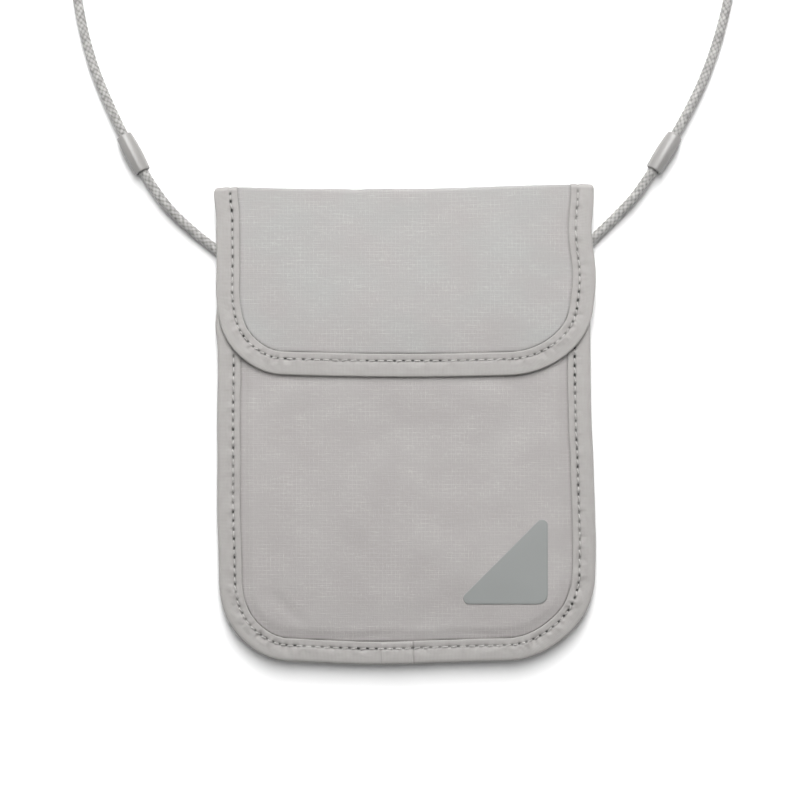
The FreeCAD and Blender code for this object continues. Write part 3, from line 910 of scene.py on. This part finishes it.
def tape_section(half):
    """Insets, heights and share of relief round the folded tape's closed section."""
    fine = np.linspace(STITCH_INSET + 0.9 * MM, STITCH_INSET - 0.9 * MM, 11)
    sheet = np.r_[TAPE, TAPE - 0.12 * MM, TAPE - 0.6 * MM, TAPE - 1.1 * MM, fine]
    sheet = np.r_[sheet, np.linspace(STITCH_INSET - 1.5 * MM, half, 7)]
    turn = np.linspace(np.pi / 2, -np.pi / 2, 9)[1:-1]
    edge = np.where(np.arange(len(sheet)) == 0, 0.1 * MM, 0)
    inset = np.r_[sheet, half - half * np.cos(turn), sheet[::-1]]
    height = np.r_[half - edge, half * np.sin(turn), edge[::-1] - half]
    relief = np.r_[np.ones(len(sheet)), np.sin(turn), -np.ones(len(sheet))]
    return inset, height, relief * (half / SEAM_HALF) ** 0.6


def make_tape(name, outline, place, half, middle, first=0, last=None, lift=0.0, wider=0.0):
    """Tape folded round the outline, from one of its points to another."""
    inset, height, relief = tape_section(half)
    inset = inset + wider * inset / TAPE
    whole = (outline.points, outline.inward, outline.run)
    points, inward, run = (part[first:last, None] for part in whole)
    flat = points + inward * inset[:, None]
    up = middle + height + relief * (tape_lift(outline, run, inset) + lift)
    round_it = np.cumsum(np.abs(np.diff(inset, prepend=inset[0])))
    tone = tape_shade(outline, run, inset)
    return loft(name, place(flat[..., 0], flat[..., 1], up), stacked(round_it, run), tone)


def make_stitches(name, outline, place, half, middle, face):
    """The lockstitch on a tape's upper (1) or lower (-1) face: each thread dips into its two holes."""
    share = np.linspace(0, 1, 9)
    seam = outline.points + outline.inward * STITCH_INSET
    paths = []
    for stitch in range(1, round(outline.run[-1] / outline.pitch) - 1):
        run = (stitch + 0.21 + 0.60 * share) * outline.pitch
        slant = 0.16 * MM * noise(stitch, face, 1.0, 51) + 0.10 * MM
        inset = STITCH_INSET + slant * (2 * share - 1)
        x, y = (np.interp(run, outline.run, column) for column in seam.T)
        if y.max() > FOLD_START + 0.5 * MM:
            continue
        to_x, to_y = (np.interp(run, outline.run, column) for column in outline.inward.T)
        rise = (0.40 * MM * np.sin(np.pi * share) ** 0.7 - 0.30 * MM) * half / SEAM_HALF
        lapped = (np.abs(x - LAP_X) < LAP_HALF) & (y < NEAR_BOTTOM)
        up = middle + face * (half + rise + 0.02 * MM + np.where(lapped, LAP_LIFT, 0))
        further = inset - STITCH_INSET
        paths.append(place(x + to_x * further, y + to_y * further, up))
    return threads(name, paths, 0.19 * MM)


def finish_on_body(obj, slot, *nodes):
    return finish_piece(obj, slot, "pouch", nodes)


def finish_on_fold(obj, slot, bend, *nodes):
    finish_piece(obj, slot, None, nodes)
    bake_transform(obj)


def stitch_rows(prefix, edge):
    """The upper and the lower row of a tape's stitches."""
    faces = (("upper", 1), ("lower", -1))
    return [make_stitches(f"{prefix}_{level}", *edge, face) for level, face in faces]


def make_body_edge():
    """The tape round the pouch, its lapped end at the bottom and its stitches."""
    finish_on_body(make_tape("body_tape", *BODY_EDGE), "edge_tape", "body_binding")
    near_lap = (np.abs(BODY.points[:, 0] - LAP_X) < LAP_HALF) & (BODY.points[:, 1] < NEAR_BOTTOM)
    first, *_, last = np.flatnonzero(near_lap)
    lap = make_tape("body_tape_lap", *BODY_EDGE, first, last, LAP_LIFT, -0.35 * MM)
    finish_on_body(lap, "edge_tape")
    for row in stitch_rows("body_stitches", BODY_EDGE):
        finish_on_body(row, "thread", "body_thread")


def make_flap_edge():
    """The tape round the flap, its ends turned down the back and its stitches."""
    finish_on_fold(make_tape("flap_tape", *FLAP_EDGE), "edge_tape", FLAP_BEND, "flap_binding")
    total = len(FLAP.points)
    count = int(np.sum(FLAP.points[:, 1] > FOLD_Y - 4.5 * MM)) // 2
    for side, first, last in (("left", 0, count), ("right", total - count, total)):
        turned = make_tape("fold_tape_" + side, FLAP, on_back, FLAP_TAPE_HALF, FLAP_MID, first, last)
        finish_on_fold(turned, "edge_tape", BACK_BEND)
    for row in stitch_rows("flap_stitches", FLAP_EDGE):
        finish_on_fold(row, "thread", FLAP_BEND, "flap_thread")


# Cloth


def seam_shade(inset):
    """Darker in the crevice at the tape's inner edge."""
    return 1 - 0.66 * bump(inset, TAPE + 0.05 * MM, 0.30 * MM)


def sheet_at(name, x, y, z, thick, tone=None):
    """A sheet whose upper face is at the height z."""
    top = stacked(x, y, z)
    return shell(name, top, top - (0, 0, thick), stacked(x, y), tone)


def sheet_over_fold(name, place, x, v, outer, under, tone=None):
    """A sheet that turns over the fold, between two offsets from the cloth's outer face."""
    return shell(name, place(x, v, outer), place(x, v, under), stacked(x, v), tone)


def make_front(name, low, high, node):
    """One front panel between two heights."""
    x, y = BODY.grid(TUCK, low, high, 0.7 * MM)
    panel = sheet_at(name, x, y, front_height(x, y), 0.45 * MM, seam_shade(BODY.inset(x, y)))
    finish_piece(panel, "shell_cloth", "pouch", (node,), "front_cloth")


def make_divider():
    """The lining between the main pocket and the zip pocket."""
    low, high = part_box("pocket_liner")
    x, y = BODY.grid(TUCK, BOTTOM + 7 * MM, high.y - 0.5 * MM, 1.5 * MM)
    liner = sheet_at("pocket_divider", x, y, high.z + 0.08 * MM * noise(x, y, 15 * MM, 61), 0.25 * MM)
    finish_on_body(liner, "lining_cloth", "pocket_liner")


def make_back():
    """The back cloth with its lining, from the bottom seam to the middle of the fold."""
    x, v = BODY.grid(TUCK, BOTTOM + TUCK, FOLD_START + FOLD_RUN, 0.8 * MM)
    back = sheet_over_fold("back_cloth", on_back, x, v, 0, -0.35 * MM, seam_shade(BODY.inset(x, v)))
    finish_on_fold(back, "shell_cloth", BACK_BEND, "back_panel", "top_spine")
    x, v = BODY.grid(TUCK, 58 * MM, FOLD_START + FOLD_RUN, 0.5 * MM)
    lining = sheet_over_fold("back_lining", on_back, x, v, -0.95 * MM, -1.15 * MM)
    finish_on_fold(lining, "lining_cloth", BACK_BEND)


def make_flap():
    """The flap's cloth and lining, from the middle of the fold to the flap's lower edge."""
    x, v = FLAP.grid(TUCK, FLAP_BOTTOM + TUCK, FOLD_START + FOLD_RUN, 0.7 * MM)
    inset = FLAP.inset(x, v)
    sunk = 0.30 * MM * (smooth(inset, TAPE - 1 * MM, TAPE + 1.2 * MM) - 1)
    # Painted shade where the cloth turns over the fold, on top of the seam's crevice shade.
    tone = seam_shade(inset) * (1 - 0.12 * smooth(v, FOLD_START - 0.5 * MM, FOLD_START + 1.5 * MM))
    flap = sheet_over_fold("flap_cloth", on_flap, x, v, sunk, sunk - 0.28 * MM, tone)
    finish_on_fold(flap, "shell_cloth", FLAP_BEND, "flap_outer")
    x, v = FLAP.grid(TAPE - 0.6 * MM, FLAP_BOTTOM + TAPE - 0.6 * MM, FOLD_START + FOLD_RUN, 1.0 * MM)
    lining = sheet_over_fold("flap_inner", on_flap, x, v, -0.72 * MM, -0.88 * MM)
    finish_on_fold(lining, "lining_cloth", FLAP_BEND, "flap_lining")


def make_mouth():
    """Narrow tape folded over the front panel's upper edge, with a row of stitches."""
    low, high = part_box("mouth_binding")
    (_, mid_y, mid_z), (_, half_y, half_z) = middle_and_half("mouth_binding")
    x = np.linspace(low.x, high.x, 230)[:, None]
    turn = np.linspace(0, 2 * np.pi, 20, endpoint=False)
    out = squared(turn, 3)
    sway = 0.08 * MM * noise(x, 0, 7 * MM, 71)
    y = mid_y + half_y * np.cos(turn) * out + sway
    z = mid_z + (half_z + sway * 0.6) * np.sin(turn) * out
    finish_on_body(loft("mouth_tape", stacked(x, y, z)), "edge_tape", "mouth_binding")
    ends = (low.x + 2 * MM, high.x - 2 * MM)
    row = straight_stitches("mouth_stitches", *ends, mid_y - 0.3 * MM, high.z + 0.02 * MM)
    finish_on_body(row, "thread")


def stitch_arcs(start, end, pitch, lift=0.16 * MM, dip=0.26 * MM):
    """Paths of a straight row of stitches between two points."""
    start, end = np.array(start), np.array(end)
    count = max(1, round(float(np.linalg.norm(end - start)) / pitch))
    share = np.linspace(0, 1, 7)[:, None]
    rise = np.sin(np.pi * share) ** 0.7 * (lift + dip) - dip
    paths = []
    for stitch in range(count):
        place = start + (end - start) * (stitch + 0.12 + 0.76 * share) / count
        paths.append(place + rise * (0, 0, 1.0))
    return paths


def straight_stitches(name, x0, x1, y, z):
    """A row of stitches from x0 to x1."""
    return threads(name, stitch_arcs((x0, y, z), (x1, y, z), 2.8 * MM), 0.16 * MM, 6)


# Label and closure


def rounded(corners, radii, steps=9):
    """A closed outline with its corners rounded."""
    corners = [np.array(corner, float) for corner in corners]
    points = []
    for number, (corner, radius) in enumerate(zip(corners, radii)):
        before = corners[number - 1] - corner
        after = corners[(number + 1) % len(corners)] - corner
        before, after = before / np.linalg.norm(before), after / np.linalg.norm(after)
        half_angle = math.acos(float(before @ after)) / 2
        middle = before + after
        centre = corner + middle / np.linalg.norm(middle) * radius / math.sin(half_angle)
        start = corner + before * radius / math.tan(half_angle) - centre
        end = corner + after * radius / math.tan(half_angle) - centre
        for share in np.linspace(0, 1, steps):
            spoke = start * (1 - share) + end * share
            points.append(centre + spoke / np.linalg.norm(spoke) * radius)
    return np.array(points)


def inwards(outline):
    """Directions into a closed outline that runs anticlockwise."""
    along = unit(np.roll(outline, -1, 0) - np.roll(outline, 1, 0))
    return stacked(-along[:, 1], along[:, 0])


def plate(name, outline, low, high, edge, rest_on=None):
    """A plate with rounded edges; its faces are closed by rings that can follow the cloth below."""
    inward = inwards(outline)
    middle = outline.mean(0)
    turn = np.linspace(0, np.pi / 2, 5)
    rounding = [(edge * (1 - math.sin(t)), edge * (1 - math.cos(t))) for t in turn]
    profile = [(inset, low + up) for inset, up in rounding]
    profile += [(inset, high - up) for inset, up in rounding[::-1]]
    rings = [stacked(*(outline + inward * inset).T, z) for inset, z in profile]
    face = rings[-1]
    for share in np.linspace(0.1, 0.98, 9):
        closer = face.copy()
        closer[:, :2] = middle + (face[:, :2] - middle) * (1 - share)
        rings.append(closer)
        lower = closer.copy()
        lower[:, 2] = low
        rings.insert(0, lower)
    rings = np.array(rings)
    if rest_on:
        rings[..., 2] += rest_on(rings[..., 0], rings[..., 1])
    return loft(name, rings, rings[..., :2])


def make_label():
    """A blank triangular rubber label welded to the front."""
    low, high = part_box("label")
    sharp = 2.1 * MM
    reach = sharp * (1 / math.tan(math.pi / 8) - 1)
    corners = [(low.x - reach, low.y), (high.x, low.y), (high.x, high.y + reach)]
    outline = rounded(corners, [sharp, 3.6 * MM, sharp], 14)
    outline = even_steps(np.vstack([outline, outline[:1]]), 0.9 * MM)[0][:-1]
    label = plate("label_plate", outline, -0.2 * MM, 0.32 * MM, 0.18 * MM, front_height)
    finish_on_body(label, "label", "label")


def make_pad(name, node, slot, body, top_face):
    """A pad of loops or hooks with a stitched border; top_face is 1 when its pile faces up."""
    low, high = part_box(node)
    x = np.linspace(low.x, high.x, int((high.x - low.x) / (0.45 * MM)))[None]
    y = np.linspace(low.y, high.y, int((high.y - low.y) / (0.45 * MM)))[:, None]
    x, y = np.broadcast_arrays(x, y)
    inset = np.minimum(np.minimum(x - low.x, high.x - x), np.minimum(y - low.y, high.y - y))
    field = smooth(inset, 1.6 * MM, 2.4 * MM)
    row = bump(inset, 1.3 * MM, 0.45 * MM)
    tufts = 0.5 + 0.5 * noise(x, y, 0.7 * MM, 81)
    height = (high.z - low.z) * (0.52 + 0.45 * field * (0.45 + 0.55 * tufts)) - 0.15 * MM * row
    base = low.z if top_face > 0 else high.z
    pile_face = stacked(x, y, base + top_face * height)
    # Painted shade: the pile is darker along the sunken stitched groove of its border.
    pad = shell(name, pile_face, stacked(x, y, base), stacked(x, y), 1 - 0.25 * row)
    finish_piece(pad, slot, body, (node,))
    z = base + top_face * (high.z - low.z) * 0.5
    border = Vector((1.3, 1.3, 0)) * MM
    (x0, y0, _), (x1, y1, _) = low + border, high - border
    corners = [(x0, y0, z), (x1, y0, z), (x1, y1, z), (x0, y1, z)]
    lift, dip = top_face * 0.16 * MM, top_face * 0.2 * MM
    paths = []
    for start, end in zip(corners, corners[1:] + corners[:1]):
        paths += stitch_arcs(start, end, 2.6 * MM, lift, dip)
    finish_piece(threads(name + "_stitches", paths, 0.15 * MM, 6), "thread", body)


# Front zip


def make_zip_tapes():
    """The zip's two tapes, each with a row of stitches."""
    for name, side in (("zip_tape_lower", -1), ("zip_tape_upper", 1)):
        low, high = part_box(name)
        x = np.linspace(TUCK - HALF, HALF - TUCK, 140)[None]
        y = np.linspace(low.y, high.y + (side < 0) * 0.4 * MM, 14)[:, None]
        x, y = np.broadcast_arrays(x, y)
        sway = 0.05 * MM * noise(x, y, 6 * MM, 91)
        under = 0.12 * MM * (side < 0) + 0.7 * MM * smooth(np.abs(x), 54 * MM, 58 * MM)
        band = sheet_at(name.replace("zip_tape", "zip_band"), x, y, high.z + sway - under, high.z - low.z)
        finish_on_body(band, "zip_tape", name)
        row_y = (low.y if side > 0 else high.y) + side * 4.75 * MM
        row_z = FRONT_SEAM + 0.72 * MM
        row = straight_stitches(name + "_stitches", low.x + 3 * MM, high.x - 3 * MM, row_y, row_z)
        finish_on_body(row, "thread")


def make_zip_coils():
    """Two rows of a nylon coil, meshed half a pitch apart."""
    pitch = 1.25 * MM
    wire = 0.20 * MM
    meshed = 0.25 * MM
    for name, side in (("zip_coil_lower", -1), ("zip_coil_upper", 1)):
        (mid_x, mid_y, mid_z), (half_x, half_y, half_z) = middle_and_half(name)
        turns = round(2 * half_x / pitch)
        turn = np.linspace(0, turns, turns * 14 + 1)
        angle = 2 * np.pi * turn
        x = mid_x + (half_x - wire) * (2 * turn / turns - 1) + side * pitch / 4
        y = mid_y - side * meshed + (half_y + meshed - wire) * np.cos(angle)
        z = mid_z + (half_z - wire) * np.sin(angle)
        coil = threads(name + "_wire", [stacked(x, y, z)], wire, 6)
        finish_on_body(coil, "zip_coil", name)


def make_zip_stops():
    """A small metal block at each end of the coils."""
    low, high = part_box("zip_stops")
    for name, edge, side in (("left", low.x, 1), ("right", high.x, -1)):
        start, end = sorted((edge, edge + side * 2 * MM))
        corners = [(start, low.y), (end, low.y), (end, high.y), (start, high.y)]
        outline = rounded(corners, [0.5 * MM] * 4)
        stop = plate("zip_stop_" + name, outline, low.z, high.z, 0.25 * MM)
        finish_on_body(stop, "zip_metal", "zip_stops")


def shield(low, high, mid_y, narrow):
    """The outline of a slider plate: wide at the shoulders and narrow at the tail."""
    wide = (high.y - low.y) / 2
    corners = [
        (low.x, mid_y - narrow),
        (high.x - 3.2 * MM, mid_y - wide),
        (high.x, mid_y - wide + 0.8 * MM),
        (high.x, mid_y + wide - 0.8 * MM),
        (high.x - 3.2 * MM, mid_y + wide),
        (low.x, mid_y + narrow),
    ]
    return rounded(corners, [1.2 * MM, 2.0 * MM, 0.7 * MM, 0.7 * MM, 2.0 * MM, 1.2 * MM])


def make_slider():
    """The slider: upper and lower plates, side flanges, a bridge and its pull."""
    low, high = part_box("zip_slider")
    (mid_x, mid_y, _), _ = middle_and_half("zip_slider")
    top = high.z - 0.8 * MM
    upper = plate("slider_plate", shield(low, high, mid_y, 2.3 * MM), top - 0.6 * MM, top, 0.22 * MM)
    lower = plate("slider_sole", shield(low, high, mid_y, 2.1 * MM), low.z, low.z + 0.22 * MM, 0.08 * MM)
    pieces = [upper, lower]
    for letter, side in (("l", -1), ("r", 1)):
        share = np.linspace(0, 1, 14)
        x = low.x + 0.5 * MM + (high.x - low.x - 3.4 * MM) * share
        y = mid_y + side * (2.15 + 0.75 * smooth(share, 0, 0.9)) * MM
        flange = stacked(x, y, top - 0.75 * MM)
        pieces.append(threads("slider_flange_" + letter, [flange], 0.32 * MM, 8))
    arch = np.linspace(0, np.pi, 15)
    x = mid_x - 2.1 * MM * np.cos(arch)
    z = top - 0.05 * MM + 0.62 * MM * np.sin(arch) ** 0.6
    pieces.append(threads("slider_bridge", [stacked(x, mid_y, z)], 0.26 * MM, 10))
    for piece in pieces:
        finish_piece(piece, "zip_metal", "slider", ("zip_slider",))
    make_pull()


def make_pull():
    """A flat pull: a ring of round wire at the bridge and a tab that leans down on the coil."""
    low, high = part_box("zip_pull")
    (_, mid_y, mid_z), _ = middle_and_half("zip_pull")
    turn = np.linspace(0, 2 * np.pi, 40)
    centre_x = low.x + 2.1 * MM
    ring_radius = 1.75 * MM
    ring = stacked(centre_x + ring_radius * np.cos(turn), mid_y + ring_radius * np.sin(turn), mid_z)
    finish_piece(threads("pull_ring", [ring], 0.22 * MM, 10), "zip_metal", "slider", ("zip_pull",))
    start, end = centre_x + 1.6 * MM, high.x
    corners = [
        (start, mid_y - 1.3 * MM),
        (end, low.y + 0.3 * MM),
        (end, high.y - 0.3 * MM),
        (start, mid_y + 1.3 * MM),
    ]
    outline = rounded(corners, [0.8 * MM, 1.4 * MM, 1.4 * MM, 0.8 * MM])
    tab = plate("pull_tab", outline, low.z, high.z - 0.04 * MM, 0.16 * MM)
    for vertex in tab.data.vertices:
        vertex.co.z -= 0.7 * MM * (vertex.co.x - start) / (end - start)
    finish_piece(tab, "zip_metal", "slider")


# Cord tabs


def make_tabs():
    """A folded webbing tab under each side seam that holds the cord's end, with two rows of stitches."""
    for name, route in (("cord_anchor_left", LEFT_ROUTE), ("cord_anchor_right", RIGHT_ROUTE)):
        (_, _, mid_z), (_, _, half_z) = middle_and_half(name)
        end, next_point = np.array(route[0]), np.array(route[1])
        along = (next_point - end)[:2]
        along = along / np.linalg.norm(along)
        across = np.array([-along[1], along[0]])
        share = np.linspace(0, 1, 26)
        sides = 36
        turn = np.linspace(0, 2 * np.pi, sides, endpoint=False)
        out = squared(turn, 5)
        swell = 0.62 + 0.38 * np.sin(np.pi * np.clip(share * 1.3 - 0.3, 0, 1)) ** 0.5
        swell = np.where(share > 0.65, 1.0 - 0.1 * (share - 0.65), swell)
        ribs = 1 + 0.02 * np.cos(np.arange(sides) * np.pi)
        wide = 3.0 * MM * np.cos(turn) * out * ribs
        tall = half_z * np.sin(turn)[None] * out * swell[:, None]
        centre = end[:2] - along * (1 - share)[:, None] * 9 * MM
        flat = centre[:, None] + across * wide[None, :, None]
        rings = stacked(flat[..., 0], flat[..., 1], mid_z + tall)
        tab = finish_on_body(loft(name.replace("cord_anchor", "tab"), rings), "edge_tape", name)
        paths = []
        for back in (2.0, 6.5):
            middle = end[:2] - along * back * MM
            ends = [np.r_[middle + across * side * 2.4 * MM, mid_z + half_z - 0.1 * MM] for side in (-1, 1)]
            paths += stitch_arcs(*ends, 1.6 * MM)
        finish_on_body(threads(tab.name + "_stitches", paths, 0.15 * MM, 6), "thread")


make_body_edge()
make_flap_edge()
zip_low, zip_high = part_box("zip_tape_lower")[1].y - 3.2 * MM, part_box("zip_tape_upper")[0].y + 3.2 * MM
make_front("front_lower", BOTTOM + TUCK, zip_low, "front_lower_panel")
make_front("front_upper", zip_high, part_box("mouth_binding")[1].y - 0.6 * MM, "front_upper_panel")
make_divider()
make_back()
make_flap()
make_mouth()
make_label()
make_pad("loop_field", "loop_pad", "loop_pile", "pouch", 1)
make_pad("hook_field", "hook_pad", "hook_pile", "flap", -1)
make_zip_tapes()
make_zip_coils()
make_zip_stops()
make_slider()
make_tabs()
